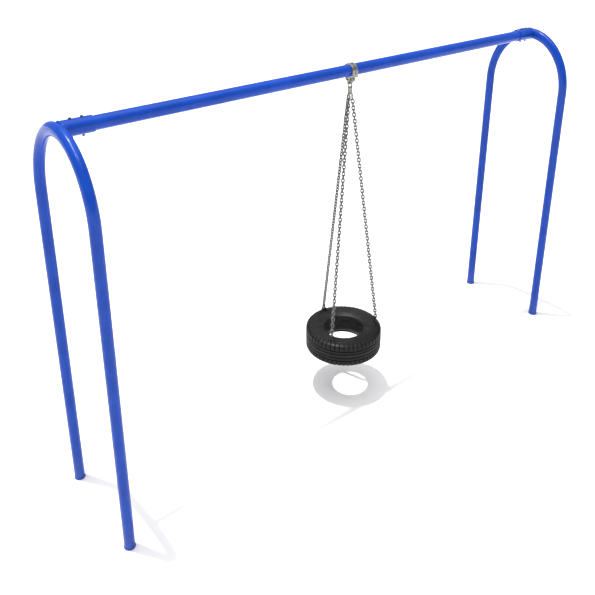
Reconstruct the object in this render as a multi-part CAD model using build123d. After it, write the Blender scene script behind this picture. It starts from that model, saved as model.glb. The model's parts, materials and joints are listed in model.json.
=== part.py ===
from build123d import *
from math import acos, atan2, cos, degrees, pi, sin, sqrt
import os

# Tire swing: two pipe arches carry a top rail, and a swivel hanger on the rail's middle carries a
# tyre on three chains. Millimetres. +X runs along the rail, -Y is the front, +Z is up, and the
# origin is on the ground under the middle of the rail.

# ---- frame ----
RAIL_HEIGHT = 2731.0  # ground to the rail's centreline
ARCH_SPACING = 4401.0  # between the centre planes of the two arches
ARCH_HALF_WIDTH = 386.0  # rail's centreline to a leg's centreline
CROWN_RISE = 479.0  # height of the half-oval bend over the straight legs
LEG_RADIUS = 36.5  # 73 mm pipe
LEG_WALL = 3.6
RAIL_RADIUS = 44.45  # 88.9 mm pipe
RAIL_WALL = 4.0
SLIP = 0.15  # radial play of the rail in its sleeves and of the rail in the clamp

SLEEVE_RADIUS = 50.8
SLEEVE_START = 18.0  # sleeve's outer end, from the arch's centre plane
SLEEVE_END = 210.5  # sleeve's inner end, from the arch's centre plane
SOCKET_FLOOR = 46.0  # full bore starts here, from the arch's centre plane
SOCKET_THROAT_RADIUS = 30.0  # narrower bore between the arch and the socket's floor
RAIL_END_GAP = 48.0  # rail's end, from the arch's centre plane
RAIL_BOLTS_AT = (80.0, 150.0)  # bolts, from the arch's centre plane
RAIL_BOLT_RADIUS = 5.0
RAIL_BOLT_ACROSS = 16.0
RAIL_BOLT_HEAD = 6.4
RAIL_BOLT_TIP = 11.0  # shank beyond the lower washer
RAIL_NUT = 8.0
WASHER = 2.0
WASHER_RADIUS = 10.0
WASHER_PLAY = 0.3
BOLT_HOLE_PLAY = 0.5

CAP_LIP = 2.2  # foot cap's wall outside the leg
CAP_HEIGHT = 16.0
CAP_FLOOR = 5.0
CAP_ROUNDING = 3.0

# ---- clamp on the rail ----
CLAMP_WIDTH = 52.0
CLAMP_RADIUS = 53.6
CLAMP_GROOVE_RADIUS = 50.4
CLAMP_GROOVE_WIDTH = 9.0
CLAMP_LEG_DROP = 46.0  # strap's straight legs, below the rail's centreline
SADDLE_DROP = 48.0
SADDLE_HALF_WIDTH = 44.4
SADDLE_BEVEL = (9.0, 6.0)
CLAMP_SCREW_DROP = 36.0
CLAMP_SCREW_AT = 15.0
CLAMP_SCREW_RADIUS = 4.0
CLAMP_HEAD_RADIUS = 8.0
CLAMP_SOCKET_ACROSS = 5.0
CLAMP_SOCKET_DEPTH = 2.5
CLAMP_SCREW_TIP = 31.0

# ---- swing pivots ----
TRUNNION_Z = RAIL_HEIGHT - 61.0  # side-swing pivot, along Y
HUB_Z = RAIL_HEIGHT - 94.0  # fore-and-aft pivot, along X
PIN_RADIUS = 5.0
BUSH_RADIUS = 7.0
RUNNING_FIT = 0.05
PIN_ACROSS = 16.0
PIN_HEAD = 6.4
PIN_NUT = 8.0
PIN_TIP = 11.0  # shank beyond the outer face of what it joins
PIN_WASHER = 1.5
PIN_WASHER_RADIUS = 9.0
SPACER_RADIUS = 8.0
SPACER_GAP = 0.4
TONGUE_HALF = 10.0
TONGUE_RADIUS = 12.0
YOKE_ARM_IN = 34.5
YOKE_ARM_OUT = 41.5
YOKE_HALF_WIDTH = 10.0
YOKE_EYE_RADIUS = 11.0
YOKE_ARM_DROP = 12.5  # side-swing pivot down to the start of the yoke's slope
YOKE_WEB_DROP = 14.0  # side-swing pivot down to the plate between the arms
YOKE_POINT_HALF_WIDTH = 4.0
HUB_RADIUS = 10.5
CHEEK_IN = 10.4
CHEEK_OUT = 16.4
CHEEK_RADIUS = 10.0
CHEEK_NECK_WIDTH = 9.0

# ---- swivel ----
BARREL_RADIUS = 19.0
BARREL_TOP = HUB_Z - 31.0
BARREL_BOTTOM = BARREL_TOP - 38.0
CAVITY_RADIUS = 14.2
CAVITY_TOP = BARREL_TOP - 8.0
BARREL_CAP_PLUG = 7.0
BARREL_CAP_FLANGE = 3.5
STEM_RADIUS = 6.0
RACE_THICKNESS = 3.0
BALL_SPACE = 5.0
BALL_RADIUS = 2.4
BALL_CIRCLE = 10.2
BALL_COUNT = 10
CAGE_THICKNESS = 1.6
SWIVEL_NUT = 9.0
SWIVEL_NUT_ACROSS = 18.0
HEAD_TOP = BARREL_BOTTOM - BARREL_CAP_FLANGE - 2.5
HEAD_THICKNESS = 9.0
HEAD_RADIUS = 20.0
TAB_THICKNESS = 6.0
TAB_HALF_WIDTH = 9.0
TAB_HOLE_AT = 16.0
TAB_HOLE_RADIUS = 5.4
TAB_HOLE_Z = HEAD_TOP - 15.0

# ---- chains ----
CHAIN_ANGLES = {"a": 87.0, "b": 207.0, "c": 327.0}  # round Z, from +X
WIRE_RADIUS = 4.5
LINK_INNER_WIDTH = 12.4
CONNECTOR_WIRE_RADIUS = 3.5
CONNECTOR_INNER_WIDTH = 12.6
CONNECTOR_INNER_LENGTH = 34.0
SLEEVE_NUT_LENGTH = 13.0
SLEEVE_NUT_ACROSS = 10.5
LINKS_PER_CHAIN = 73
LINK_PLAY = 0.2  # between a link and the next
TAB_SEAT = 1.0  # the round link's bend sits this far into the tab's hole
STRAP_SEAT = 2.5  # the strap's edges rest in the last link's bend, this far from its end

# ---- tyre ----
TYRE_Z = 475.6
TYRE_RADIUS = 311.0
TREAD_HALF_WIDTH = 77.8
SECTION_HALF_WIDTH = 99.3
SHOULDER_DEPTH = 44.3
BEAD_RADIUS = 158.7
BEAD_HEIGHT = 67.0  # narrowest point of the opening, above the tyre's middle plane
BEAD_FACE = 7.0  # height of the bead's inner face
BEAD_LEAN = 2.3
BEAD_WIDTH = 19.0
BEAD_CORE_RADIUS = 4.5
SIDEWALL_POINTS = ((215.0, 96.0), (190.0, 91.0), (172.0, 84.5))  # radius, height above the middle plane
TREAD_THICKNESS = 17.0
TREAD_CORNER = 58.0  # flat inside of the tread ends at this height
SIDEWALL = 8.0
GROOVES_AT = (-43.0, -18.0, 16.0, 40.0)
GROOVE_WIDTH = 7.0
GROOVE_DEPTH = 7.0
DRAIN_RADIUS = 10.0
DRAIN_CIRCLE = 268.0
DRAIN_TURN = 20.0  # from a bracket to the drain hole beside it, in degrees

# ---- tyre brackets ----
BRACKET_CIRCLE = 268.0
BRACKET_RISE = 63.0  # sidewall's crown to the top of the bent strap
STRAP_THICKNESS = 6.0
STRAP_TOP_WIDTH = 8.0
STRAP_FOOT_WIDTH = 30.0
BEND_RADIUS = 5.0
LEG_SPREAD = 12.0
FOOT_END = 38.0
BRACKET_BOLT_AT = 26.5
BRACKET_BOLT_RADIUS = 4.0
BRACKET_BOLT_ACROSS = 13.0
BRACKET_BOLT_HEAD = 5.3
BRACKET_BOLT_TIP = 11.0  # shank beyond the backing plate
BRACKET_NUT = 8.0
BACKING_PLATE = 4.0
PLATE_WIDTH = 22.0
PLATE_LENGTH = 72.0
PLATE_GAP = 3.2  # sidewall's inner face at its crown to the flat plate

# ---- what follows from the sizes above ----
ARCH_X = ARCH_SPACING / 2
SPRING_Z = RAIL_HEIGHT - CROWN_RISE
CLAMP_SCREW_Z = RAIL_HEIGHT - CLAMP_SCREW_DROP
LOWER_RACE_Z = BARREL_BOTTOM + BARREL_CAP_PLUG
BALL_Z = LOWER_RACE_Z + RACE_THICKNESS + BALL_SPACE / 2
UPPER_RACE_Z = LOWER_RACE_Z + RACE_THICKNESS + BALL_SPACE
NUT_Z = UPPER_RACE_Z + RACE_THICKNESS
SIDEWALL_TOP = TYRE_Z + SECTION_HALF_WIDTH
CROWN_CIRCLE = TYRE_RADIUS - SHOULDER_DEPTH  # where the sidewall stands highest
BEAD_TOE = (BEAD_RADIUS + BEAD_LEAN, BEAD_HEIGHT - BEAD_FACE)
PLATE_TOP = -SIDEWALL - PLATE_GAP  # from the sidewall's crown
PLATE_BOTTOM = PLATE_TOP - BACKING_PLATE

CHAIN_TOP = Vector(TAB_HOLE_AT, 0, TAB_HOLE_Z)
CHAIN_BOTTOM = Vector(BRACKET_CIRCLE, 0, SIDEWALL_TOP + BRACKET_RISE - STRAP_THICKNESS - STRAP_SEAT)
CHAIN_DOWN = (CHAIN_BOTTOM - CHAIN_TOP).normalized()
CONNECTOR_START = TAB_HOLE_RADIUS - TAB_SEAT
CONNECTOR_AT = CONNECTOR_START + CONNECTOR_INNER_LENGTH / 2
LINKS_LENGTH = (CHAIN_BOTTOM - CHAIN_TOP).length - CONNECTOR_START - CONNECTOR_INNER_LENGTH
LINK_PITCH = LINKS_LENGTH / LINKS_PER_CHAIN
LINK_INNER_LENGTH = LINK_PITCH + LINK_PLAY
FIRST_LINK_AT = CONNECTOR_START + CONNECTOR_INNER_LENGTH + LINK_INNER_LENGTH / 2 - LINK_PLAY


def rod(radius, start, end):
    """A round bar from one point to another."""
    start, end = Vector(*start), Vector(*end)
    plane = Plane(origin=start, z_dir=end - start)
    return plane * Cylinder(radius, (end - start).length, align=(Align.CENTER, Align.CENTER, Align.MIN))


def pipe(outer, inner, start, end):
    return rod(outer, start, end) - rod(inner, start, end)


def hexagon(across_flats, start, end):
    """A hex bar with its far rim turned off, like a bolt's head or a nut."""
    start, end = Vector(*start), Vector(*end)
    height = (end - start).length
    bar = extrude(RegularPolygon(across_flats / 2, 6, major_radius=False), height)
    corner = across_flats / sqrt(3)
    turned = Cylinder(corner + 0.01, height, align=(Align.CENTER, Align.CENTER, Align.MIN))
    rim = turned.edges().group_by(Axis.Z)[-1]
    turned = chamfer(rim, length=0.12 * across_flats, length2=0.07 * across_flats)
    return Plane(origin=start, z_dir=end - start) * (bar & turned)


def hex_bolt(radius, across_flats, head_height, seat, tip):
    """Its head sits behind seat, and its shank runs from seat to tip."""
    seat, tip = Vector(*seat), Vector(*tip)
    length = (seat - tip).length
    shank = Cylinder(radius, length, align=(Align.CENTER, Align.CENTER, Align.MIN))
    shank = chamfer(shank.edges().group_by(Axis.Z)[-1], length=0.2 * radius)
    out = (seat - tip).normalized()
    head = hexagon(across_flats, seat, seat + out * head_height)
    return Plane(origin=seat, z_dir=tip - seat) * shank + head


def hex_nut(radius, across_flats, start, end):
    return hexagon(across_flats, start, end) - rod(radius, start, end)


def group(solids):
    return Compound(children=list(solids))


def save(node, shape):
    export_step(shape, f"parts/{node}.step")


# ---- frame ----


def bend(radius):
    """A half-round bend of solid bar over the two legs, drawn up into a half oval."""
    section = Plane.XY * Pos(0, ARCH_HALF_WIDTH) * Circle(radius)
    half_ring = revolve(section, axis=Axis.X, revolution_arc=180)
    return scale(half_ring, by=(1, 1, CROWN_RISE / ARCH_HALF_WIDTH))


def arch_bar(x, radius):
    legs = [rod(radius, (x, side * ARCH_HALF_WIDTH, CAP_FLOOR), (x, side * ARCH_HALF_WIDTH, SPRING_Z))
            for side in (-1, 1)]
    return Pos(x, 0, SPRING_Z) * bend(radius) + legs[0] + legs[1]


def arch_post(side):
    x = side * ARCH_X
    return arch_bar(x, LEG_RADIUS) - arch_bar(x, LEG_RADIUS - LEG_WALL)


def rail_bolt_places(side):
    return [side * (ARCH_X - distance) for distance in RAIL_BOLTS_AT]


def rail_bolt_holes(side):
    reach = SLEEVE_RADIUS + 5
    return [rod(RAIL_BOLT_RADIUS + BOLT_HOLE_PLAY, (x, 0, RAIL_HEIGHT - reach), (x, 0, RAIL_HEIGHT + reach))
            for x in rail_bolt_places(side)]


def rail_sleeve(side):
    """A socket welded to the arch's crown, cut to fit round the pipe."""
    start = (side * (ARCH_X - SLEEVE_START), 0, RAIL_HEIGHT)
    floor = (side * (ARCH_X - SOCKET_FLOOR), 0, RAIL_HEIGHT)
    end = (side * (ARCH_X - SLEEVE_END), 0, RAIL_HEIGHT)
    sleeve = rod(SLEEVE_RADIUS, start, end)
    sleeve = chamfer(sleeve.edges().group_by(Axis.X)[0 if side > 0 else -1], length=1.5)
    sleeve -= rod(RAIL_RADIUS + SLIP, floor, end) + rod(SOCKET_THROAT_RADIUS, start, floor)
    sleeve -= Pos(side * ARCH_X, 0, SPRING_Z) * bend(LEG_RADIUS)
    for hole in rail_bolt_holes(side):
        sleeve -= hole
    return max(sleeve.solids(), key=lambda solid: solid.volume)


def top_rail():
    half = ARCH_X - RAIL_END_GAP
    rail = pipe(RAIL_RADIUS, RAIL_RADIUS - RAIL_WALL, (-half, 0, RAIL_HEIGHT), (half, 0, RAIL_HEIGHT))
    for side in (-1, 1):
        for hole in rail_bolt_holes(side):
            rail -= hole
    return rail


def foot_cap(side, front):
    """A cup pressed over the leg's end."""
    x, y = side * ARCH_X, front * ARCH_HALF_WIDTH
    cup = rod(LEG_RADIUS + CAP_LIP, (x, y, 0), (x, y, CAP_HEIGHT))
    cup = fillet(cup.edges().group_by(Axis.Z)[0], radius=CAP_ROUNDING)
    cup = chamfer(cup.edges().group_by(Axis.Z)[-1], length=1)
    return cup - rod(LEG_RADIUS, (x, y, CAP_FLOOR), (x, y, CAP_HEIGHT))


def rail_fasteners():
    bolts, washers, nuts = [], [], []
    top = RAIL_HEIGHT + SLEEVE_RADIUS + WASHER
    bottom = RAIL_HEIGHT - SLEEVE_RADIUS - WASHER
    for x in rail_bolt_places(-1) + rail_bolt_places(1):
        head, tip = (x, 0, top), (x, 0, bottom - RAIL_BOLT_TIP)
        bolts.append(hex_bolt(RAIL_BOLT_RADIUS, RAIL_BOLT_ACROSS, RAIL_BOLT_HEAD, head, tip))
        nuts.append(hex_nut(RAIL_BOLT_RADIUS, RAIL_BOLT_ACROSS, (x, 0, bottom), (x, 0, bottom - RAIL_NUT)))
        for low in (top - WASHER, bottom):
            hole = RAIL_BOLT_RADIUS + WASHER_PLAY
            washers.append(pipe(WASHER_RADIUS, hole, (x, 0, low), (x, 0, low + WASHER)))
    return group(bolts), group(washers), group(nuts)


# ---- clamp ----


def across(width, sketch):
    """A sketch drawn on the YZ plane, made into a plate of this width about x = 0."""
    return extrude(Plane.YZ * sketch, width / 2, both=True)


def clamp_groove():
    ring = Circle(CLAMP_RADIUS + 3) - Circle(CLAMP_GROOVE_RADIUS)
    return across(CLAMP_GROOVE_WIDTH, Pos(0, RAIL_HEIGHT) * ring)


def clamp_strap():
    """Goes over the rail and down its two sides."""
    upper_half = Pos(0, CLAMP_RADIUS / 2) * Rectangle(2 * CLAMP_RADIUS, CLAMP_RADIUS)
    arc = Pos(0, RAIL_HEIGHT) * (Circle(CLAMP_RADIUS) & upper_half)
    middle = Pos(0, RAIL_HEIGHT - CLAMP_LEG_DROP / 2)
    inside = RAIL_RADIUS + SLIP
    hollow = Pos(0, RAIL_HEIGHT) * Circle(inside) + middle * Rectangle(2 * inside, CLAMP_LEG_DROP)
    strap = across(CLAMP_WIDTH, arc + middle * Rectangle(2 * CLAMP_RADIUS, CLAMP_LEG_DROP) - hollow)
    rims = [edge for edge in strap.edges().filter_by(GeomType.CIRCLE) if edge.radius > CLAMP_RADIUS - 1]
    strap = fillet(rims, radius=2) - clamp_groove()
    for x, side in clamp_screw_places():
        strap -= countersunk(x, side)
    return strap


def clamp_screw_places():
    return [(x, side) for x in (-CLAMP_SCREW_AT, CLAMP_SCREW_AT) for side in (-1, 1)]


def countersunk(x, side):
    """A flat-headed screw's outside, its head flush with the strap's face."""
    depth = CLAMP_HEAD_RADIUS - CLAMP_SCREW_RADIUS
    head = Cone(CLAMP_SCREW_RADIUS, CLAMP_HEAD_RADIUS, depth, align=(Align.CENTER, Align.CENTER, Align.MAX))
    face = Plane(origin=(x, side * CLAMP_RADIUS, CLAMP_SCREW_Z), z_dir=(0, side, 0))
    return face * head + rod(CLAMP_SCREW_RADIUS, (x, side * (CLAMP_RADIUS - depth), CLAMP_SCREW_Z),
                             (x, side * CLAMP_SCREW_TIP, CLAMP_SCREW_Z))


def clamp_saddle():
    """Fills the space under the rail between the strap's legs, and has the tongue for the side swing."""
    block = Pos(0, RAIL_HEIGHT - SADDLE_DROP / 2) * Rectangle(2 * SADDLE_HALF_WIDTH, SADDLE_DROP)
    saddle = across(CLAMP_WIDTH, block - Pos(0, RAIL_HEIGHT) * Circle(RAIL_RADIUS + SLIP))
    lower_edges = saddle.edges().filter_by(Axis.X).group_by(Axis.Z)[0]
    saddle = chamfer(lower_edges, length=SADDLE_BEVEL[0], length2=SADDLE_BEVEL[1])
    top = RAIL_HEIGHT - SADDLE_DROP + 3
    tongue = Pos(0, (TRUNNION_Z + top) / 2) * Rectangle(2 * TONGUE_RADIUS, top - TRUNNION_Z)
    tongue += Pos(0, TRUNNION_Z) * Circle(TONGUE_RADIUS)
    saddle += extrude(Plane.XZ * tongue, TONGUE_HALF, both=True)
    saddle -= rod(BUSH_RADIUS, (0, -TONGUE_HALF, TRUNNION_Z), (0, TONGUE_HALF, TRUNNION_Z))
    for x, side in clamp_screw_places():
        saddle -= rod(CLAMP_SCREW_RADIUS, (x, side * (CLAMP_SCREW_TIP - 1), CLAMP_SCREW_Z),
                      (x, side * (SADDLE_HALF_WIDTH + 1), CLAMP_SCREW_Z))
    return saddle


def clamp_screws():
    """Each has a hexagonal socket in its flat head."""
    screws = []
    for x, side in clamp_screw_places():
        outline = RegularPolygon(CLAMP_SOCKET_ACROSS / 2, 6, major_radius=False)
        socket = extrude(outline, CLAMP_SOCKET_DEPTH)
        key = Plane(origin=(x, side * CLAMP_RADIUS, CLAMP_SCREW_Z), z_dir=(0, -side, 0)) * socket
        screws.append(countersunk(x, side) - key)
    return group(screws)


# ---- yoke: swings from side to side ----


def hanger_yoke():
    """A thick triangle with two upright arms for the trunnion bolt, and a hub at its lower point."""
    top, point, web = TRUNNION_Z, HUB_Z - HUB_RADIUS + 1, TRUNNION_Z - YOKE_WEB_DROP
    half = [(YOKE_ARM_OUT, top), (YOKE_ARM_OUT, top - YOKE_ARM_DROP), (YOKE_POINT_HALF_WIDTH, point),
            (0, point), (0, web), (YOKE_ARM_IN, web), (YOKE_ARM_IN, top)]
    arm = make_face(Polyline(*half, close=True))
    yoke = across(2 * YOKE_HALF_WIDTH, arm + mirror(arm, about=Plane.YZ))
    yoke += rod(HUB_RADIUS, (-YOKE_HALF_WIDTH, 0, HUB_Z), (YOKE_HALF_WIDTH, 0, HUB_Z))
    for side in (-1, 1):
        inner, outer = (0, side * YOKE_ARM_IN, TRUNNION_Z), (0, side * YOKE_ARM_OUT, TRUNNION_Z)
        yoke += rod(YOKE_EYE_RADIUS, inner, outer)
        yoke -= rod(PIN_RADIUS, inner, outer)
    return yoke - rod(BUSH_RADIUS, (-YOKE_HALF_WIDTH, 0, HUB_Z), (YOKE_HALF_WIDTH, 0, HUB_Z))


def bushing(start, end):
    return pipe(BUSH_RADIUS, PIN_RADIUS + RUNNING_FIT, start, end)


def pin_set(way, half, z):
    """A bolt along the direction way through a fork this far out on both sides, its nut and its washers."""
    middle, way = Vector(0, 0, z), Vector(*way)
    seat = half + PIN_WASHER
    bolt = hex_bolt(PIN_RADIUS, PIN_ACROSS, PIN_HEAD, middle - way * seat, middle + way * (half + PIN_TIP))
    nut = hex_nut(PIN_RADIUS, PIN_ACROSS, middle + way * seat, middle + way * (seat + PIN_NUT))
    washers = [pipe(PIN_WASHER_RADIUS, PIN_RADIUS, middle + way * (side * half), middle + way * (side * seat))
               for side in (-1, 1)]
    return bolt, nut, group(washers)


def trunnion_spacers():
    """Tubes on the trunnion bolt that keep the arms off the tongue."""
    return group(pipe(SPACER_RADIUS, PIN_RADIUS, (0, side * (TONGUE_HALF + SPACER_GAP), TRUNNION_Z),
                      (0, side * YOKE_ARM_IN, TRUNNION_Z)) for side in (-1, 1))


# ---- stirrup and barrel: swing fore and aft ----


def swing_stirrup():
    """Two cheeks round the yoke's hub, joined over a barrel that holds the swivel's bearing."""
    neck = Rectangle(CHEEK_NECK_WIDTH, HUB_Z - BARREL_TOP + 4)
    side_view = Pos(0, HUB_Z) * Circle(CHEEK_RADIUS) + Pos(0, (HUB_Z + BARREL_TOP) / 2 - 2) * neck
    cheek = extrude(Plane.YZ * side_view, CHEEK_OUT - CHEEK_IN)
    stirrup = Pos(CHEEK_IN, 0, 0) * cheek + Pos(-CHEEK_OUT, 0, 0) * cheek
    barrel = rod(BARREL_RADIUS, (0, 0, BARREL_BOTTOM), (0, 0, BARREL_TOP))
    stirrup += chamfer(barrel.edges().group_by(Axis.Z)[-1], length=2)
    stirrup -= rod(CAVITY_RADIUS, (0, 0, BARREL_BOTTOM), (0, 0, CAVITY_TOP))
    return stirrup - rod(PIN_RADIUS, (-CHEEK_OUT, 0, HUB_Z), (CHEEK_OUT, 0, HUB_Z))


def barrel_cap():
    """Screws into the barrel's mouth and carries the bearing."""
    flange = rod(BARREL_RADIUS - 0.5, (0, 0, BARREL_BOTTOM - BARREL_CAP_FLANGE), (0, 0, BARREL_BOTTOM))
    flange = chamfer(flange.edges().group_by(Axis.Z)[0], length=1)
    plug = rod(CAVITY_RADIUS, (0, 0, BARREL_BOTTOM), (0, 0, BARREL_BOTTOM + BARREL_CAP_PLUG))
    bore = rod(STEM_RADIUS + 0.08, (0, 0, BARREL_BOTTOM - BARREL_CAP_FLANGE),
               (0, 0, BARREL_BOTTOM + BARREL_CAP_PLUG))
    return flange + plug - bore


def lower_race():
    top = LOWER_RACE_Z + RACE_THICKNESS
    return pipe(CAVITY_RADIUS - 0.2, STEM_RADIUS + 0.4, (0, 0, LOWER_RACE_Z), (0, 0, top))


def ball_places():
    return [(BALL_CIRCLE * cos(2 * pi * i / BALL_COUNT), BALL_CIRCLE * sin(2 * pi * i / BALL_COUNT), BALL_Z)
            for i in range(BALL_COUNT)]


def bearing_balls():
    return group(Pos(*place) * Sphere(BALL_RADIUS) for place in ball_places())


def ball_cage():
    half = CAGE_THICKNESS / 2
    cage = pipe(CAVITY_RADIUS - 0.7, STEM_RADIUS + 1, (0, 0, BALL_Z - half), (0, 0, BALL_Z + half))
    for x, y, z in ball_places():
        cage -= rod(BALL_RADIUS + 0.1, (x, y, z - 1), (x, y, z + 1))
    return cage


# ---- swivel: turns about Z ----


def upper_race():
    return pipe(CAVITY_RADIUS - 1, STEM_RADIUS, (0, 0, UPPER_RACE_Z), (0, 0, UPPER_RACE_Z + RACE_THICKNESS))


def swivel_nut():
    return hex_nut(STEM_RADIUS, SWIVEL_NUT_ACROSS, (0, 0, NUT_Z), (0, 0, NUT_Z + SWIVEL_NUT))


def around(angle, shape):
    return Rot(0, 0, angle) * shape


def swivel_head():
    """The stem, a round head under the barrel, and three tabs that the chains hang from."""
    disc = rod(HEAD_RADIUS, (0, 0, HEAD_TOP - HEAD_THICKNESS), (0, 0, HEAD_TOP))
    head = fillet(disc.edges(), radius=2)
    top = HEAD_TOP - HEAD_THICKNESS + 1
    plate = Pos(TAB_HOLE_AT, (top + TAB_HOLE_Z) / 2) * Rectangle(2 * TAB_HALF_WIDTH, top - TAB_HOLE_Z)
    plate += Pos(TAB_HOLE_AT, TAB_HOLE_Z) * Circle(TAB_HALF_WIDTH)
    tab = extrude(Plane.XZ * plate, TAB_THICKNESS / 2, both=True)
    tab -= rod(TAB_HOLE_RADIUS, (TAB_HOLE_AT, -5, TAB_HOLE_Z), (TAB_HOLE_AT, 5, TAB_HOLE_Z))
    for angle in CHAIN_ANGLES.values():
        head += around(angle, tab)
    return head + rod(STEM_RADIUS, (0, 0, HEAD_TOP - 1), (0, 0, NUT_Z + SWIVEL_NUT + 1))


# ---- chains: each lies in the upright plane through its tab and its bracket ----

def oval_link(inner_length, inner_width, wire_radius):
    """A ring of round wire, long in Z, lying in the XZ plane."""
    bend_radius = inner_width / 2 + wire_radius
    straight = inner_length / 2 - inner_width / 2
    crown = revolve(Plane.XY * Pos(bend_radius, 0) * Circle(wire_radius), axis=Axis.Y, revolution_arc=180)
    if crown.center(CenterOf.MASS).Z < 0:
        crown = mirror(crown, about=Plane.XY)
    link = Pos(0, 0, straight) * crown + Pos(0, 0, -straight) * mirror(crown, about=Plane.XY)
    for side in (-1, 1):
        link += rod(wire_radius, (side * bend_radius, 0, -straight), (side * bend_radius, 0, straight))
    return link


def along_chain(distance, turned):
    """A place on the chain's line; a turned link lies in the chain's upright plane."""
    x_dir = Vector(0, 1, 0).cross(CHAIN_DOWN) if turned else Vector(0, 1, 0)
    return Plane(origin=CHAIN_TOP + CHAIN_DOWN * distance, x_dir=x_dir, z_dir=CHAIN_DOWN * -1).location


def connecting_link(angle):
    link = oval_link(CONNECTOR_INNER_LENGTH, CONNECTOR_INNER_WIDTH, CONNECTOR_WIRE_RADIUS)
    return around(angle, along_chain(CONNECTOR_AT, False) * link)


def connecting_nut(angle):
    """The threaded sleeve that closes one long side of the connecting link."""
    x = CONNECTOR_INNER_WIDTH / 2 + CONNECTOR_WIRE_RADIUS
    nut = hex_nut(CONNECTOR_WIRE_RADIUS, SLEEVE_NUT_ACROSS, (x, 0, -SLEEVE_NUT_LENGTH / 2),
                  (x, 0, SLEEVE_NUT_LENGTH / 2))
    return around(angle, along_chain(CONNECTOR_AT, False) * nut)


def chain(angle):
    link = oval_link(LINK_INNER_LENGTH, LINK_INNER_WIDTH, WIRE_RADIUS)
    return group(around(angle, along_chain(FIRST_LINK_AT + i * LINK_PITCH, i % 2 == 0) * link)
                 for i in range(LINKS_PER_CHAIN))


# ---- tyre ----


def tyre_outline():
    """Upper half of the outside: tread, shoulder, sidewall and bead, in radius and height."""
    bead = (BEAD_RADIUS, BEAD_HEIGHT)
    tread = Line((TYRE_RADIUS, 0), (TYRE_RADIUS, TREAD_HALF_WIDTH))
    shoulder = EllipticalCenterArc((CROWN_CIRCLE, TREAD_HALF_WIDTH), SHOULDER_DEPTH,
                                   SECTION_HALF_WIDTH - TREAD_HALF_WIDTH, 0, arc_size=90)
    sidewall = Spline((CROWN_CIRCLE, SECTION_HALF_WIDTH), *SIDEWALL_POINTS, bead, tangents=((-1, 0), (0, -1)))
    return [tread, shoulder, sidewall, Line(bead, BEAD_TOE)]


def tyre_lining():
    """Upper half of the inside, from the bead's toe to the tread."""
    ankle = (BEAD_RADIUS + BEAD_WIDTH, BEAD_HEIGHT - 6)
    inside = TYRE_RADIUS - TREAD_THICKNESS
    under_crown = (CROWN_CIRCLE, SECTION_HALF_WIDTH - SIDEWALL)
    radius, height = SIDEWALL_POINTS[0]
    side = Spline(ankle, (radius, height - SIDEWALL - 1.5), under_crown, tangents=((1, 1.5), (1, 0)))
    shoulder = Spline(under_crown, (CROWN_CIRCLE + 18, SECTION_HALF_WIDTH - SIDEWALL - 3),
                      (inside, TREAD_CORNER), tangents=((1, 0), (0.05, -1)))
    return [Line(BEAD_TOE, ankle), side, shoulder, Line((inside, TREAD_CORNER), (inside, 0))]


def tyre():
    middle = Line((TYRE_RADIUS - TREAD_THICKNESS, 0), (TYRE_RADIUS, 0))
    half = make_face(tyre_outline() + tyre_lining() + [middle])
    section = half + mirror(half, about=Plane.XZ)
    for height in GROOVES_AT:
        section -= Pos(TYRE_RADIUS - GROOVE_DEPTH / 2, height) * Rectangle(GROOVE_DEPTH + 0.01, GROOVE_WIDTH)
    body = Pos(0, 0, TYRE_Z) * revolve(Plane.XZ * section, axis=Axis.Z)
    for side in (-1, 1):
        body -= bead_core(side)
    drain = rod(DRAIN_RADIUS, (DRAIN_CIRCLE, 0, TYRE_Z - 110), (DRAIN_CIRCLE, 0, TYRE_Z - 60))
    for angle in CHAIN_ANGLES.values():
        for y in (-BRACKET_BOLT_AT, BRACKET_BOLT_AT):
            body -= around(angle, bracket_rod(BRACKET_BOLT_RADIUS, y, -30, 10))
        body -= around(angle + DRAIN_TURN, drain)
    return body


def bead_core(side):
    """The wire ring inside an upper or a lower bead."""
    return Pos(0, 0, TYRE_Z + side * (BEAD_HEIGHT + 3)) * Torus(BEAD_RADIUS + 10, BEAD_CORE_RADIUS)


# ---- tyre brackets: drawn at angle 0, the strap's bend across the radius ----


def bracket_rod(radius, y, low, high):
    """An upright round bar on a bracket's bolt line; low and high are from the sidewall's crown."""
    return rod(radius, bracket_place(y, low), bracket_place(y, high))


def leg_touch(radius, centre, lean):
    return radius * cos(lean), centre + radius * sin(lean)


def loop_shape(radius, centre, lean, half_width):
    """A rounded top that runs down into two straight, spreading sides."""
    x, y = leg_touch(radius, centre, lean)
    top = make_face([CenterArc((0, centre), radius, degrees(lean), 180 - 2 * degrees(lean)),
                     Line((-x, y), (x, y))])
    return top + make_face(Polyline((x, y), (half_width, 0), (-half_width, 0), (-x, y), close=True))


def strap_outline():
    """The bent strap from its side: y across, z from the sidewall's crown. Two feet, two legs, one bend."""
    outer = BEND_RADIUS + STRAP_THICKNESS
    centre = BRACKET_RISE - outer
    rise, run = centre - STRAP_THICKNESS, LEG_SPREAD
    lean = atan2(run, rise) + acos(outer / sqrt(run * run + rise * rise)) - pi / 2
    outside = loop_shape(outer, centre, lean, LEG_SPREAD + STRAP_THICKNESS)
    inside = loop_shape(BEND_RADIUS, centre, lean, LEG_SPREAD)
    foot = Rectangle(FOOT_END - LEG_SPREAD, STRAP_THICKNESS)
    middle = (FOOT_END + LEG_SPREAD) / 2
    feet = Pos(middle, STRAP_THICKNESS / 2) * foot + Pos(-middle, STRAP_THICKNESS / 2) * foot
    return outside - inside + feet


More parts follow.
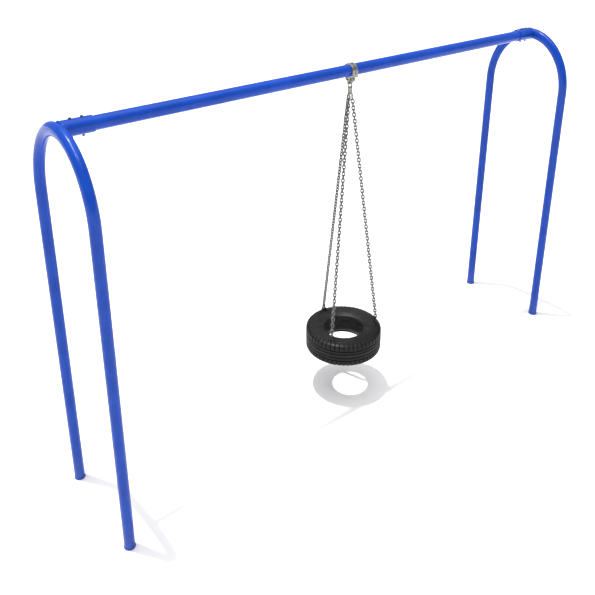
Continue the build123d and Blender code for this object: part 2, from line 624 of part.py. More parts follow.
def strap_taper():
    """The strap's width seen from its edge: narrow where the chain hangs, wide at the feet."""
    foot, top, shoulder = STRAP_FOOT_WIDTH / 2, STRAP_TOP_WIDTH / 2, BRACKET_RISE - 2 * STRAP_THICKNESS
    right = [(foot, 0), (foot, STRAP_THICKNESS), (top, shoulder), (top, BRACKET_RISE)]
    left = [(-x, z) for x, z in reversed(right)]
    return make_face(Polyline(*right, *left, close=True))


def tyre_bracket(angle):
    strap = extrude(Plane.YZ * strap_outline(), STRAP_FOOT_WIDTH / 2, both=True)
    strap &= extrude(Plane.XZ * strap_taper(), FOOT_END + 1, both=True)
    strap = Pos(BRACKET_CIRCLE, 0, SIDEWALL_TOP) * strap
    for y in (-BRACKET_BOLT_AT, BRACKET_BOLT_AT):
        strap -= bracket_rod(BRACKET_BOLT_RADIUS, y, -1, STRAP_THICKNESS + 1)
    return around(angle, strap)


def backing_plate(angle):
    middle = SIDEWALL_TOP + PLATE_TOP - BACKING_PLATE / 2
    plate = Pos(BRACKET_CIRCLE, 0, middle) * Box(PLATE_WIDTH, PLATE_LENGTH, BACKING_PLATE)
    plate = fillet(plate.edges().filter_by(Axis.Z), radius=4)
    for y in (-BRACKET_BOLT_AT, BRACKET_BOLT_AT):
        plate -= bracket_rod(BRACKET_BOLT_RADIUS, y, PLATE_BOTTOM - 1, PLATE_TOP + 1)
    return around(angle, plate)


def bracket_place(y, height):
    """On a bracket's bolt line, this far above the sidewall's crown."""
    return BRACKET_CIRCLE, y, SIDEWALL_TOP + height


def bracket_fasteners():
    bolts, nuts = [], []
    for angle in CHAIN_ANGLES.values():
        for y in (-BRACKET_BOLT_AT, BRACKET_BOLT_AT):
            seat, tip = bracket_place(y, STRAP_THICKNESS), bracket_place(y, PLATE_BOTTOM - BRACKET_BOLT_TIP)
            bolt = hex_bolt(BRACKET_BOLT_RADIUS, BRACKET_BOLT_ACROSS, BRACKET_BOLT_HEAD, seat, tip)
            start, end = bracket_place(y, PLATE_BOTTOM), bracket_place(y, PLATE_BOTTOM - BRACKET_NUT)
            nut = hex_nut(BRACKET_BOLT_RADIUS, BRACKET_BOLT_ACROSS, start, end)
            bolts.append(around(angle, bolt))
            nuts.append(around(angle, nut))
    return group(bolts), group(nuts)


def write_frame():
    for name, side in (("left", -1), ("right", 1)):
        save(f"arch_post_{name}", arch_post(side))
        save(f"rail_sleeve_{name}", rail_sleeve(side))
        for end, front in (("front", -1), ("rear", 1)):
            save(f"foot_cap_{name}_{end}", foot_cap(side, front))
    save("top_rail", top_rail())
    for node, shape in zip(("rail_bolts", "rail_bolt_washers", "rail_bolt_nuts"), rail_fasteners()):
        save(node, shape)


def write_hanger():
    save("clamp_strap", clamp_strap())
    save("clamp_saddle", clamp_saddle())
    save("clamp_screws", clamp_screws())
    save("tongue_bushing", bushing((0, -TONGUE_HALF, TRUNNION_Z), (0, TONGUE_HALF, TRUNNION_Z)))
    save("hanger_yoke", hanger_yoke())
    save("hub_bushing", bushing((-YOKE_HALF_WIDTH, 0, HUB_Z), (YOKE_HALF_WIDTH, 0, HUB_Z)))
    save("swing_stirrup", swing_stirrup())
    trunnion, stirrup = pin_set((0, 1, 0), YOKE_ARM_OUT, TRUNNION_Z), pin_set((1, 0, 0), CHEEK_OUT, HUB_Z)
    for name, (bolt, nut, washers) in (("trunnion", trunnion), ("stirrup", stirrup)):
        save(f"{name}_bolt", bolt)
        save(f"{name}_nut", nut)
        save(f"{name}_washers", washers)
    save("trunnion_spacers", trunnion_spacers())
    save("barrel_cap", barrel_cap())
    save("bearing_lower_race", lower_race())
    save("bearing_balls", bearing_balls())
    save("bearing_cage", ball_cage())


def write_swivel():
    save("bearing_upper_race", upper_race())
    save("swivel_nut", swivel_nut())
    save("swivel_head", swivel_head())
    for name, angle in CHAIN_ANGLES.items():
        save(f"connecting_link_{name}", connecting_link(angle))
        save(f"chain_{name}", chain(angle))
        save(f"tyre_bracket_{name}", tyre_bracket(angle))
        save(f"backing_plate_{name}", backing_plate(angle))
    save("connecting_link_nuts", group(connecting_nut(angle) for angle in CHAIN_ANGLES.values()))
    for node, shape in zip(("bracket_bolts", "bracket_nuts"), bracket_fasteners()):
        save(node, shape)
    save("tyre", tyre())
    save("bead_core_upper", bead_core(1))
    save("bead_core_lower", bead_core(-1))


os.makedirs("parts", exist_ok=True)
write_frame()
write_hanger()
write_swivel()
print(f"chain link: {LINK_INNER_LENGTH:.2f} mm inside, {LINKS_PER_CHAIN} in each chain")
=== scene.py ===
import json
import math

import bpy
from mathutils import Matrix, Vector


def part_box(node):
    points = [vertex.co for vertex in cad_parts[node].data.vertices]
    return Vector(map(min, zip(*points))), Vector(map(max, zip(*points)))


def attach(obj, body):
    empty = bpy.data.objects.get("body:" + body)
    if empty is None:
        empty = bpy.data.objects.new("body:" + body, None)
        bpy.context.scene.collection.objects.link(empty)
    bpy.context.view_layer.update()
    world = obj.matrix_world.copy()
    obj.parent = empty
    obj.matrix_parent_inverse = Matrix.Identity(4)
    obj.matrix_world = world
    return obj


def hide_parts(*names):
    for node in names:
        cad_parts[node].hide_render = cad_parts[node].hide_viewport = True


# Looks of a tire swing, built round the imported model. Metres: +X along the top rail, -Y the front,
# +Z up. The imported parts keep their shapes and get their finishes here. The tyre is built again as a
# mesh with its tread, and the welds on the rail's sockets are added.

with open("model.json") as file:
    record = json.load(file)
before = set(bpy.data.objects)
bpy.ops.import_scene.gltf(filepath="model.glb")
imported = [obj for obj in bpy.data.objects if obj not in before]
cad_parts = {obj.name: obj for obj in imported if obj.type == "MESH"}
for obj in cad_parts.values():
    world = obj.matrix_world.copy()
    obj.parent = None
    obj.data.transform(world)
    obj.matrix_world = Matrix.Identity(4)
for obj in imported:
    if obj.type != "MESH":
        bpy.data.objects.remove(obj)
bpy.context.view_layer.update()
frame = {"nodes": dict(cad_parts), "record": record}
nodes = frame["nodes"]


# ---- shader graphs ----


class Graph:
    """A material's node tree, with short calls for the few nodes that the finishes use."""

    def __init__(self, name, **sockets):
        self.material = bpy.data.materials.new(name)
        self.material.use_nodes = True
        self.tree = self.material.node_tree
        self.shader = self.tree.nodes["Principled BSDF"]
        for socket, value in sockets.items():
            self.shader.inputs[socket.replace("_", " ")].default_value = value
        self.place = self.add("ShaderNodeTexCoord").outputs["Object"]

    def add(self, kind, **settings):
        node = self.tree.nodes.new(kind)
        for name, value in settings.items():
            setattr(node, name, value)
        return node

    def feed(self, socket, value):
        if isinstance(value, bpy.types.NodeSocket):
            self.tree.links.new(value, socket)
        else:
            socket.default_value = value

    def math(self, operation, a, b=0.0, c=0.0):
        node = self.add("ShaderNodeMath", operation=operation)
        for socket, value in zip(node.inputs, (a, b, c)):
            self.feed(socket, value)
        return node.outputs["Value"]

    def noise(self, scale, detail=3.0, roughness=0.5, place=None):
        node = self.add("ShaderNodeTexNoise")
        self.feed(node.inputs["Vector"], place or self.place)
        node.inputs["Scale"].default_value = scale
        node.inputs["Detail"].default_value = detail
        node.inputs["Roughness"].default_value = roughness
        return node.outputs["Fac"]

    def cells(self, scale, output="Color"):
        node = self.add("ShaderNodeTexVoronoi")
        self.feed(node.inputs["Vector"], self.place)
        node.inputs["Scale"].default_value = scale
        return node.outputs[output]

    def stretch(self, factors):
        node = self.add("ShaderNodeVectorMath", operation="MULTIPLY")
        self.feed(node.inputs[0], self.place)
        node.inputs[1].default_value = factors
        return node.outputs["Vector"]

    def split(self, vector=None):
        node = self.add("ShaderNodeSeparateXYZ")
        self.feed(node.inputs["Vector"], vector or self.place)
        return node.outputs["X"], node.outputs["Y"], node.outputs["Z"]

    def between(self, value, low, high, to_low=0.0, to_high=1.0):
        node = self.add("ShaderNodeMapRange", interpolation_type="SMOOTHSTEP")
        for name, number in (("Value", value), ("From Min", low), ("From Max", high),
                             ("To Min", to_low), ("To Max", to_high)):
            self.feed(node.inputs[name], number)
        return node.outputs["Result"]

    def mix(self, factor, first, second):
        node = self.add("ShaderNodeMix", data_type="RGBA")
        colours = [socket for socket in node.inputs if socket.type == "RGBA"]
        self.feed(node.inputs["Factor"], factor)
        for socket, colour in zip(colours, (first, second)):
            self.feed(socket, (*colour, 1.0) if isinstance(colour, tuple) else colour)
        return next(socket for socket in node.outputs if socket.type == "RGBA")

    def colour(self, value):
        self.feed(self.shader.inputs["Base Color"], value)

    def roughness(self, value):
        self.feed(self.shader.inputs["Roughness"], value)

    def bump(self, *layers):
        """Each layer is (height, strength, distance in metres), from coarse to fine."""
        normal = None
        for height, strength, distance in layers:
            node = self.add("ShaderNodeBump")
            node.inputs["Strength"].default_value = strength
            node.inputs["Distance"].default_value = distance
            self.feed(node.inputs["Height"], height)
            if normal:
                self.feed(node.inputs["Normal"], normal)
            normal = node.outputs["Normal"]
        self.feed(self.shader.inputs["Normal"], normal)


# ---- finishes ----


def powder_coat(name, deep, bright, shine):
    """Thick sprayed colour: a faint orange peel, cloudy film thickness and a little dust low down."""
    g = Graph(name, Coat_Weight=0.19, Coat_Roughness=0.02, Specular_IOR_Level=0.13)
    film = g.between(g.noise(5.0, 4.0), 0.35, 0.65)
    speckle = g.between(g.noise(900.0, 2.0), 0.62, 0.72)
    tint = g.mix(film, deep, bright)
    tint = g.mix(g.math("MULTIPLY", speckle, 0.10), tint, tuple(min(1.0, c * 1.5 + 0.02) for c in bright))
    height = g.split()[2]
    dust = g.math("MULTIPLY", g.between(height, 0.0, 0.30, 0.10, 0.0), g.noise(40.0, 5.0))
    g.colour(g.mix(dust, tint, (0.42, 0.40, 0.36)))
    g.roughness(g.between(g.noise(24.0, 4.0), 0.3, 0.7, shine - 0.04, shine + 0.05))
    g.bump((g.noise(30.0, 3.0), 0.05, 0.002), (g.noise(420.0, 2.0), 0.10, 0.0004))
    return g.material


def moulded_plastic(name, colour):
    g = Graph(name, Specular_IOR_Level=0.4)
    flow = g.noise(60.0, 3.0)
    lighter = tuple(min(1.0, c * 1.3 + 0.01) for c in colour)
    g.colour(g.mix(g.between(flow, 0.4, 0.7), colour, lighter))
    g.roughness(g.between(g.noise(300.0, 4.0), 0.3, 0.7, 0.38, 0.52))
    g.bump((g.noise(1200.0, 2.0), 0.16, 0.0003))
    return g.material


def zinc(name, dark, light, roughness, spangle, dirt):
    """Galvanised or plated steel: patches of crystal, dull in places, darker where dirt sits."""
    g = Graph(name, Metallic=1.0)
    patch = g.split(g.cells(spangle))[0]
    cloud = g.noise(spangle * 0.4, 4.0)
    metal = g.mix(g.math("MULTIPLY_ADD", patch, 0.5, g.math("MULTIPLY", cloud, 0.5)), dark, light)
    grime = g.between(g.noise(spangle * 1.7, 6.0, 0.65), 0.48, 0.70, 0.0, dirt)
    g.colour(g.mix(grime, metal, (0.045, 0.042, 0.038)))
    g.roughness(g.between(g.noise(spangle * 2.0, 4.0), 0.3, 0.7, roughness - 0.07, roughness + 0.10))
    g.bump((cloud, 0.12, 0.0006), (g.noise(2600.0, 2.0), 0.15, 0.0002))
    return g.material


def dulled_bolt(name, dark, light):
    """Zinc-plated fastener gone dull, with fine turning marks and blotchy stains."""
    g = Graph(name, Metallic=0.9)
    stain = g.between(g.noise(220.0, 5.0, 0.6), 0.35, 0.65)
    g.colour(g.mix(stain, dark, light))
    g.roughness(g.between(g.noise(500.0, 3.0), 0.3, 0.7, 0.34, 0.52))
    g.bump((g.noise(1500.0, 3.0), 0.2, 0.0003))
    return g.material


def bright_steel(name):
    g = Graph(name, Metallic=1.0)
    g.colour(g.mix(g.noise(400.0, 3.0), (0.56, 0.57, 0.58), (0.70, 0.70, 0.71)))
    g.roughness(g.between(g.noise(700.0, 3.0), 0.3, 0.7, 0.12, 0.24))
    g.bump((g.noise(3000.0, 2.0), 0.05, 0.0001))
    return g.material


def sintered_bronze(name):
    g = Graph(name, Metallic=1.0)
    pores = g.between(g.cells(1600.0, "Distance"), 0.10, 0.30)
    g.colour(g.mix(pores, (0.16, 0.10, 0.045), (0.50, 0.34, 0.15)))
    g.roughness(g.between(g.noise(500.0, 3.0), 0.3, 0.7, 0.35, 0.5))
    g.bump((pores, 0.2, 0.0002))
    return g.material


def dipped_coat(name):
    """Black plastic dip over a bent steel strap: thick, soft-edged and faintly uneven."""
    g = Graph(name, Specular_IOR_Level=0.45, Coat_Weight=0.12, Coat_Roughness=0.3)
    drips = g.noise(1.0, 4.0, place=g.stretch((90.0, 90.0, 28.0)))
    g.colour(g.mix(g.between(drips, 0.35, 0.7), (0.006, 0.006, 0.007), (0.016, 0.016, 0.017)))
    g.roughness(g.between(g.noise(260.0, 4.0), 0.3, 0.7, 0.34, 0.5))
    g.bump((drips, 0.25, 0.0008), (g.noise(900.0, 2.0), 0.12, 0.0002))
    return g.material


# ---- rubber ----

TREAD_SIPES = 104  # fine cuts round each rib
LINER_RIDGES = 150


def around_and_out(g):
    """Turns round the tyre's axle from 0 to 1, and distance from it in metres."""
    x, y, z = g.split()
    turns = g.math("DIVIDE", g.math("ARCTAN2", y, x), 2 * math.pi)
    out = g.math("SQRT", g.math("ADD", g.math("MULTIPLY", x, x), g.math("MULTIPLY", y, y)))
    return turns, out, z


def thin_lines(g, phase, width):
    """1 on narrow lines where phase is near a whole number, else 0."""
    distance = g.math("PINGPONG", phase, 0.5)
    return g.between(distance, width * 0.5, width, 1.0, 0.0)


def lug_cuts(g, turns, out, z):
    """1 in the cuts across the shoulders, which the lower shoulder has half a lug further round."""
    half_lug = g.math("MULTIPLY", g.math("LESS_THAN", z, 0.0), 0.5)
    cuts = thin_lines(g, g.math("MULTIPLY_ADD", turns, LUGS, half_lug), 0.13)
    cuts = g.math("MULTIPLY", cuts, g.between(g.math("ABSOLUTE", z), 0.047, 0.052))
    return g.math("MULTIPLY", cuts, g.between(out, CROWN_RADIUS + 0.014, CROWN_RADIUS + 0.021))


def rib_grooves(g, out, z):
    """1 at the bottom of the grooves between the ribs."""
    deep = g.between(out, TYRE_RADIUS - 0.0050, TYRE_RADIUS - 0.0020, 1.0, 0.0)
    return g.math("MULTIPLY", deep, g.between(g.math("ABSOLUTE", z), 0.050, 0.056, 1.0, 0.0))


def tyre_rubber(name, base):
    """Moulded rubber: skin sheen on the sidewalls, scuffed ribs with sipes, and painted shade in the sipes,
    cuts and grooves.
    """
    g = Graph(name, Specular_IOR_Level=0.15)
    turns, out, z = around_and_out(g)
    on_tread = g.between(out, TYRE_RADIUS - 0.004, TYRE_RADIUS - 0.0025)
    slant = g.math("MULTIPLY", z, 34.0)
    sipes = thin_lines(g, g.math("MULTIPLY_ADD", turns, TREAD_SIPES, slant), 0.045)
    sipes = g.math("MULTIPLY", sipes, on_tread)
    low = g.math("MAXIMUM", lug_cuts(g, turns, out, z), rib_grooves(g, out, z))
    scuff = g.between(g.noise(26.0, 6.0, 0.65), 0.42, 0.72)
    skin = g.mix(scuff, tuple(c * 0.8 for c in base), tuple(c * 1.5 for c in base))
    worn = g.mix(g.math("MULTIPLY", on_tread, 0.35), skin, tuple(c * 2.2 for c in base))
    dust = g.math("MULTIPLY", g.between(g.noise(70.0, 6.0, 0.7), 0.5, 0.75), 0.06)
    dusty = g.mix(dust, worn, (0.13, 0.125, 0.115))
    # Painted shade: the colour darkens in the sipes, in the cuts between lugs and at the bottom of the rib
    # grooves.
    painted_shade = g.math("MAXIMUM", sipes, g.math("MULTIPLY", low, 0.9))
    g.colour(g.mix(painted_shade, dusty, tuple(c * 0.25 for c in base)))
    skin_roughness = g.between(g.noise(45.0, 4.0), 0.3, 0.7, 0.38, 0.50)
    g.roughness(g.math("MULTIPLY_ADD", low, 0.4, g.math("MULTIPLY_ADD", on_tread, 0.12, skin_roughness)))
    rings = g.math("MULTIPLY", g.math("SINE", g.math("MULTIPLY", out, 2 * math.pi / 0.0022)),
                   g.math("SUBTRACT", 1.0, on_tread))
    g.bump((g.math("MULTIPLY", sipes, -1.0), 0.8, 0.0015), (rings, 0.05, 0.0003),
           (g.noise(190.0, 5.0, 0.6), 0.18, 0.0009), (g.noise(1500.0, 2.0), 0.2, 0.0002))
    return g.material


def tyre_liner(name, base):
    """The inside of a tyre: matt, with the fine crossed ridges that the moulding bag leaves, and a painted
    highlight on the ridges with painted shade between them.
    """
    g = Graph(name, Specular_IOR_Level=0.3)
    turns, out, z = around_and_out(g)
    lean = g.math("MULTIPLY", g.math("ADD", z, out), 90.0)
    one_way = thin_lines(g, g.math("MULTIPLY_ADD", turns, LINER_RIDGES, lean), 0.16)
    other_way = thin_lines(g, g.math("MULTIPLY_ADD", turns, -LINER_RIDGES, lean), 0.16)
    ridges = g.math("MAXIMUM", one_way, other_way)
    # Painted highlight and shade: the ridges are coloured lighter and the valleys darker.
    shaded_valley, lit_ridge = tuple(c * 0.7 for c in base), tuple(c * 1.6 for c in base)
    g.colour(g.mix(g.math("MULTIPLY", ridges, 0.5), shaded_valley, lit_ridge))
    g.roughness(g.between(g.noise(90.0, 4.0), 0.3, 0.7, 0.6, 0.78))
    g.bump((ridges, 0.5, 0.0008), (g.noise(400.0, 3.0), 0.2, 0.0004))
    return g.material


BLUE = powder_coat("blue_powder_coat", (0.0035, 0.047, 0.350), (0.005, 0.057, 0.407), 0.13)
CAP_BLUE = moulded_plastic("blue_foot_cap", (0.0035, 0.039, 0.295))
BOLT = dulled_bolt("sleeve_bolt", (0.035, 0.033, 0.028), (0.13, 0.125, 0.115))
BLACK_BOLT = dulled_bolt("bracket_bolt", (0.006, 0.006, 0.006), (0.024, 0.023, 0.022))
HANGER = zinc("hanger_galvanised", (0.17, 0.168, 0.16), (0.40, 0.39, 0.37), 0.36, 130.0, 0.45)
CHAIN = zinc("chain_zinc", (0.08, 0.08, 0.08), (0.21, 0.21, 0.21), 0.30, 240.0, 0.50)
PLATE = zinc("plate_zinc", (0.24, 0.24, 0.24), (0.44, 0.44, 0.43), 0.40, 160.0, 0.30)
BEARING = bright_steel("bearing_steel")
BRONZE = sintered_bronze("bushing_bronze")
DIPPED = dipped_coat("bracket_black_dip")

FINISH_OF_SLOT = {
    "frame_paint": BLUE,
    "cap_plastic": CAP_BLUE,
    "bolt_steel": BOLT,
    "black_bolt": BLACK_BOLT,
    "hanger_steel": HANGER,
    "chain_steel": CHAIN,
    "bearing_steel": BEARING,
    "bush_bronze": BRONZE,
    "bracket_coat": DIPPED,
    "plate_steel": PLATE,
}


def finish_cad_nodes():
    for subpart in frame["record"]["subparts"]:
        finish = FINISH_OF_SLOT.get(subpart["material_slot"])
        if finish is None:
            continue
        for slot in nodes[subpart["node"]].material_slots:
            slot.material = finish


# ---- tyre ----

tyre_low, tyre_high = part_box("tyre")
TYRE_CENTRE = (Vector(tyre_low) + Vector(tyre_high)) / 2
TYRE_RADIUS = (tyre_high[0] - tyre_low[0]) / 2
HALF_WIDTH = (tyre_high[2] - tyre_low[2]) / 2
TREAD_HALF = HALF_WIDTH - 0.0215
CROWN_RADIUS = TYRE_RADIUS - 0.0443  # where the sidewall is widest
BEAD_RADIUS = TYRE_RADIUS - 0.1523
BEAD_HEIGHT = 0.067  # narrowest point of the opening, above the tyre's middle plane
INSIDE_RADIUS = TYRE_RADIUS - 0.017
SIDEWALL = 0.008
TREAD_EDGE = 0.058  # height where the inside turns from the tread to the sidewall
TREAD_CROWN = 0.0012  # the tread's edges lie this much nearer to the axle than its middle
LUG_START = 0.046  # height on the tread where the cuts between lugs begin
LUG_FULL = 0.052  # and where they reach their depth
RIB_GROOVES = (-0.043, -0.018, 0.016, 0.040)
GROOVE_HALF = 0.0036
GROOVE_DEPTH = 0.0072
LUGS = 52
LUG_DEPTH = 0.0064
# Angles within one lug, as parts of its pitch, and whether each lies in the cut between lugs.
LUG_STEPS = ((-0.09, 1), (0.0, 1), (0.09, 1), (0.125, 0), (0.31, 0), (0.5, 0), (0.69, 0), (0.875, 0))


def ease(low, high, value):
    t = min(1.0, max(0.0, (value - low) / (high - low)))
    return t * t * (3 - 2 * t)


def tread_line():
    """(radius, height, depth of the lug cuts) across the tread, from its middle up to the shoulder."""
    stops = {0.0, TREAD_HALF}
    for centre in RIB_GROOVES:
        for offset in (-1.25, -0.95, -0.6, 0.6, 0.95, 1.25):
            stops.add(centre + offset * GROOVE_HALF)
    stops |= {step * 0.008 for step in range(-9, 10)}
    line = []
    for height in sorted(stop for stop in stops if -TREAD_HALF <= stop <= TREAD_HALF):
        nearest = min(abs(height - centre) for centre in RIB_GROOVES)
        if GROOVE_HALF * 0.95 < nearest < GROOVE_HALF * 1.2:
            continue
        cut = GROOVE_DEPTH * (1.0 - ease(0.7 * GROOVE_HALF, 1.2 * GROOVE_HALF, nearest))
        crown = TREAD_CROWN * (height / TREAD_HALF) ** 2
        lug = ease(LUG_START, LUG_FULL, abs(height))
        line.append((TYRE_RADIUS - crown - cut, height, lug))
    return line


def shoulder_line(steps=14):
    line = []
    for i in range(1, steps + 1):
        t = math.pi / 2 * i / steps
        radius = CROWN_RADIUS + (TYRE_RADIUS - TREAD_CROWN - CROWN_RADIUS) * math.cos(t)
        height = TREAD_HALF + (HALF_WIDTH - TREAD_HALF) * math.sin(t)
        line.append((radius, height, ease(CROWN_RADIUS + 0.014, CROWN_RADIUS + 0.022, radius)))
    return line


SIDE_RINGS = ((0.2575, 0.0009, 0.0016), (0.2370, 0.0005, 0.0009), (0.2335, 0.0005, 0.0009),
              (0.1950, 0.0008, 0.0014))  # radius, rise, half width
SIDE_POWER = 2.2  # how square the sidewall's curve down to the bead is
LINING_POWER = 2.6  # the same for the inside


def side_height(radius):
    """Outside height of the sidewall between its crown and the bead."""
    inwards = (CROWN_RADIUS - radius) / (CROWN_RADIUS - BEAD_RADIUS)
    fullness = (1.0 - min(1.0, inwards) ** SIDE_POWER) ** (1 / SIDE_POWER)
    return BEAD_HEIGHT + (HALF_WIDTH - BEAD_HEIGHT) * fullness


def sidewall_line(steps=72):
    """Crown of the sidewall in to the bead, with thin raised rings. Steps shorten towards the bead."""
    line = []
    for i in range(1, steps + 1):
        radius = BEAD_RADIUS + (CROWN_RADIUS - BEAD_RADIUS) * (1.0 - math.sin(math.pi / 2 * i / steps))
        ring = sum(rise * (1.0 - ease(0.5 * half, 1.5 * half, abs(radius - at)))
                   for at, rise, half in SIDE_RINGS)
        inside_edge = ease(BEAD_RADIUS, BEAD_RADIUS + 0.02, radius)
        sunk = 0.0010 * ease(CROWN_RADIUS, CROWN_RADIUS - 0.006, radius) * inside_edge
        line.append((radius, side_height(radius) - sunk + ring, 0.0))
    return line


def bead_line():
    """Round the bead's foot to its toe."""
    return [(BEAD_RADIUS + dr, BEAD_HEIGHT - dz, 0.0) for dr, dz in (
        (0.0002, 0.0024), (0.0008, 0.0046), (0.0022, 0.0062), (0.0044, 0.0070))]


def lining_line(steps=22):
    """Inside face, from the bead's toe out to the middle of the tread."""
    ankle = BEAD_RADIUS + 0.014
    low, top = BEAD_HEIGHT - 0.0065, HALF_WIDTH - SIDEWALL
    line = []
    for i in range(steps + 1):
        radius = ankle + (CROWN_RADIUS - ankle) * i / steps
        part = (CROWN_RADIUS - radius) / (CROWN_RADIUS - ankle)
        line.append((radius, top - (top - low) * part ** LINING_POWER, 0.0))
    rounding = 2 / LINING_POWER
    corner_steps = 12
    for i in range(1, corner_steps + 1):
        t = math.pi / 2 * i / corner_steps
        out = CROWN_RADIUS + (INSIDE_RADIUS - CROWN_RADIUS) * math.sin(t) ** rounding
        line.append((out, TREAD_EDGE + (top - TREAD_EDGE) * max(0.0, math.cos(t)) ** rounding, 0.0))
    return line


def mirrored(line):
    return [(radius, -height, lug) for radius, height, lug in reversed(line)]


def tyre_section():
    """The closed outline as (radius, height, lug depth), and how many points belong to the outside."""
    side = shoulder_line() + sidewall_line() + bead_line()
    outside = mirrored(side) + tread_line() + side
    inside = lining_line()
    return outside + inside + mirrored(inside), len(outside)


def inward(section, i):
    """Unit vector into the rubber at a point of the outline, in radius and height."""
    before, after = section[i - 1], section[(i + 1) % len(section)]
    along = Vector((after[0] - before[0], after[1] - before[1]))
    if along.length < 1e-9:
        return Vector((-1.0, 0.0))
    along.normalize()
    return Vector((-along.y, along.x))


def build_tyre():
    section, outside_count = tyre_section()
    turned = []
    for lug in range(LUGS):
        for part, cut in LUG_STEPS:
            turned.append((2 * math.pi * (lug + part) / LUGS, cut))
    vertices, faces, liner = [], [], []
    for i, (radius, height, lug_depth) in enumerate(section):
        into = inward(section, i)
        twist = 0.0 if height > 0 else math.pi / LUGS * ease(0.0, 0.045, -height)
        for angle, cut in turned:
            depth = LUG_DEPTH * lug_depth * cut
            r, z = radius + into.x * depth, height + into.y * depth
            vertices.append((r * math.cos(angle + twist), r * math.sin(angle + twist), z))
    count = len(turned)
    for i in range(len(section)):
        below, above = i * count, ((i + 1) % len(section)) * count
        for j in range(count):
            k = (j + 1) % count
            faces.append((below + j, below + k, above + k, above + j))
            liner.append(1 if i >= outside_count else 0)
    mesh = bpy.data.meshes.new("tyre_with_tread")
    mesh.from_pydata(vertices, [], faces)
    mesh.polygons.foreach_set("material_index", liner)
    mesh.polygons.foreach_set("use_smooth", [True] * len(faces))
    mesh.update()
    mesh.set_sharp_from_angle(angle=math.radians(32))
    piece = bpy.data.objects.new("tyre_with_tread", mesh)
    bpy.context.collection.objects.link(piece)
    piece.location = TYRE_CENTRE
    mesh.materials.append(tyre_rubber("tyre_rubber", (0.011, 0.011, 0.0112)))
    # The liner's talc-grey base is made far lighter than the outside rubber, as painted light for the inside
    # of the tyre, which gets little light.
    mesh.materials.append(tyre_liner("tyre_liner", (0.24, 0.24, 0.243)))
    return piece


def drill_drains(piece, degrees=(107.0, 227.0, 347.0), radius=0.010, circle=0.268):
    """Drain holes through the lower sidewall."""
    cutter_mesh = bpy.data.meshes.new("drain_cutter")
    vertices, faces = [], []
    sides = 24
    for turn in map(math.radians, degrees):
        centre = Vector((circle * math.cos(turn), circle * math.sin(turn), 0.0))
        first = len(vertices)
        for z in (-HALF_WIDTH - 0.02, -HALF_WIDTH + 0.03):
            for i in range(sides):
                a = 2 * math.pi * i / sides
                vertices.append((centre.x + radius * math.cos(a), centre.y + radius * math.sin(a), z))
        faces.append(tuple(first + i for i in reversed(range(sides))))
        faces.append(tuple(first + sides + i for i in range(sides)))
        for i in range(sides):
            k = (i + 1) % sides
            faces.append((first + i, first + k, first + sides + k, first + sides + i))
    cutter_mesh.from_pydata(vertices, [], faces)
    cutter = bpy.data.objects.new("drain_cutter", cutter_mesh)
    bpy.context.collection.objects.link(cutter)
    cutter.location = piece.location
    cut = piece.modifiers.new("drains", "BOOLEAN")
    cut.operation = "DIFFERENCE"
    cut.solver = "EXACT"
    cut.object = cutter
    bpy.context.view_layer.update()
    cut_mesh = bpy.data.meshes.new_from_object(piece.evaluated_get(bpy.context.evaluated_depsgraph_get()))
    piece.modifiers.clear()
    piece.data = cut_mesh
    bpy.data.objects.remove(cutter)


# ---- welds on the rail's sockets ----

arch_low, arch_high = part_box("arch_post_left")
sleeve_low, sleeve_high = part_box("rail_sleeve_left")
ARCH_X = -(arch_low[0] + arch_high[0]) / 2
PIPE_RADIUS = (arch_high[0] - arch_low[0]) / 2
HALF_SPAN = (arch_high[1] - arch_low[1]) / 2 - PIPE_RADIUS
RAIL_Z = (sleeve_low[2] + sleeve_high[2]) / 2
SLEEVE_RADIUS = (sleeve_high[2] - sleeve_low[2]) / 2
BEND_RISE = (arch_high[2] - RAIL_Z) / PIPE_RADIUS  # how far the bend is drawn up
SPRING_Z = RAIL_Z - HALF_SPAN * BEND_RISE
SLEEVE_START = 0.018  # socket's end, from the arch's centre plane
WELD_SUNK = 0.0055  # weld's centreline, inside the socket's surface


def arch_reach(y, z):
    """How far the bent pipe's surface stands off the arch's centre plane at this height and depth."""
    away = math.hypot(y, (z - SPRING_Z) / BEND_RISE) - HALF_SPAN
    return math.sqrt(max(0.0, PIPE_RADIUS ** 2 - away ** 2))


def weld_bead(side, name, steps=240, sides=14, bead=0.0080, ripples=44):
    """A run of overlapping ripples round the joint of socket and arch."""
    radius = SLEEVE_RADIUS - WELD_SUNK
    path = []
    for i in range(steps):
        t = 2 * math.pi * i / steps
        y, z = radius * math.cos(t), RAIL_Z + radius * math.sin(t)
        off = max(SLEEVE_START - 0.002, arch_reach(y, z) + 0.001)
        path.append(Vector((side * (ARCH_X - off), y, z)))
    vertices, faces = [], []
    for i, point in enumerate(path):
        along = (path[(i + 1) % steps] - path[i - 1]).normalized()
        outward = Vector((0.0, point.y, point.z - RAIL_Z)).normalized()
        across = along.cross(outward).normalized()
        outward = across.cross(along)
        ripple = 1.0 + 0.10 * math.cos(2 * math.pi * ripples * i / steps) + 0.05 * math.sin(17.0 * i / steps)
        for j in range(sides):
            a = 2 * math.pi * j / sides
            vertices.append(point + (outward * math.cos(a) + across * math.sin(a)) * bead * ripple)
    for i in range(steps):
        for j in range(sides):
            k, n = (j + 1) % sides, (i + 1) % steps
            faces.append((i * sides + j, i * sides + k, n * sides + k, n * sides + j))
    mesh = bpy.data.meshes.new(name)
    mesh.from_pydata(vertices, [], faces)
    mesh.polygons.foreach_set("use_smooth", [True] * len(faces))
    mesh.materials.append(BLUE)
    mesh.update()
    piece = bpy.data.objects.new(name, mesh)
    bpy.context.collection.objects.link(piece)
    return piece


# ---- studio ----


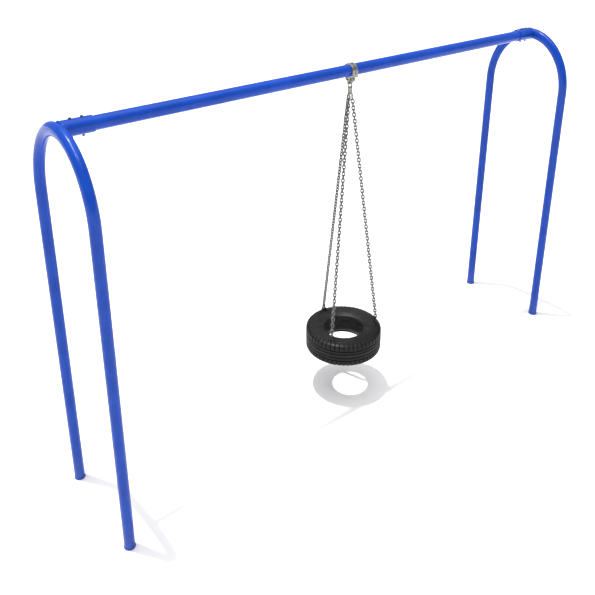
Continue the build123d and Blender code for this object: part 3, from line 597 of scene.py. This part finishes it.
def white_floor(reach=60.0):
    g = Graph("floor_white", Specular_IOR_Level=0.0)
    g.colour(g.mix(g.noise(0.8, 2.0), (0.90, 0.90, 0.905), (0.915, 0.915, 0.92)))
    g.roughness(0.9)
    mesh = bpy.data.meshes.new("floor")
    mesh.from_pydata([(-reach, -reach, 0), (reach, -reach, 0), (reach, reach, 0), (-reach, reach, 0)],
                     [], [(0, 1, 2, 3)])
    mesh.materials.append(g.material)
    floor = bpy.data.objects.new("floor", mesh)
    bpy.context.collection.objects.link(floor)
    floor.location.z = -0.0005


def sky(sides, overhead):
    """A white tent that is brighter overhead."""
    world = bpy.data.worlds.new("studio")
    bpy.context.scene.world = world
    world.use_nodes = True
    tree = world.node_tree
    back = tree.nodes["Background"]
    back.inputs["Color"].default_value = (1.0, 1.0, 1.0, 1.0)
    split = tree.nodes.new("ShaderNodeSeparateXYZ")
    tree.links.new(tree.nodes.new("ShaderNodeTexCoord").outputs["Generated"], split.inputs["Vector"])
    rise = tree.nodes.new("ShaderNodeMapRange")
    rise.interpolation_type = "SMOOTHSTEP"
    tree.links.new(split.outputs["Z"], rise.inputs["Value"])
    for name, value in (("From Min", 0.68), ("From Max", 0.92), ("To Min", sides), ("To Max", overhead)):
        rise.inputs[name].default_value = value
    tree.links.new(rise.outputs["Result"], back.inputs["Strength"])


def softbox(name, place, long_way, size, irradiance, shiny_only=False):
    """A rectangular lamp that faces the origin. Size is its width and its length along long_way."""
    place, long_way = Vector(place), Vector(long_way)
    out = place.normalized()
    along = (long_way - out * out.dot(long_way)).normalized()
    light = bpy.data.lights.new(name, "AREA")
    light.shape = "RECTANGLE"
    light.size, light.size_y = size
    light.energy = irradiance * math.pi * place.length_squared
    lamp = bpy.data.objects.new(name, light)
    lamp.location = place
    lamp.rotation_euler = Matrix((along.cross(out), along, out)).transposed().to_euler()
    lamp.visible_diffuse = not shiny_only
    bpy.context.collection.objects.link(lamp)


def camera():
    data = bpy.data.cameras.new("camera")
    data.sensor_width = 36.0
    data.lens = 44.91
    data.shift_x = 0.00232
    data.shift_y = -0.21562
    data.clip_end = 200.0
    holder = bpy.data.objects.new("camera", data)
    yaw, pitch = math.radians(51.079), math.radians(-21.4285)
    looking = Vector((math.cos(pitch) * math.cos(yaw), math.cos(pitch) * math.sin(yaw), math.sin(pitch)))
    holder.location = (-3.6143, -3.8490, 4.0263)
    holder.rotation_euler = looking.to_track_quat("-Z", "Y").to_euler()
    bpy.context.collection.objects.link(holder)
    bpy.context.scene.camera = holder


finish_cad_nodes()

tyre = build_tyre()
drill_drains(tyre)
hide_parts("tyre")
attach(tyre, "swivel")

for word, side in (("left", -1), ("right", 1)):
    weld = weld_bead(side, f"sleeve_weld_{word}")
    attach(weld, "frame")

white_floor()
sky(0.50, 2.15)
softbox("key", (-11.2, 14.9, 129.0), (0.0, 1.0, 0.0), (1.3, 4.4), 2.76)
softbox("strip", (-8.6, -2.0, 42.1), (0.2, -0.78, 0.0), (0.9, 34.0), 3.0, shiny_only=True)
camera()
bpy.context.scene.view_settings.view_transform = "Standard"
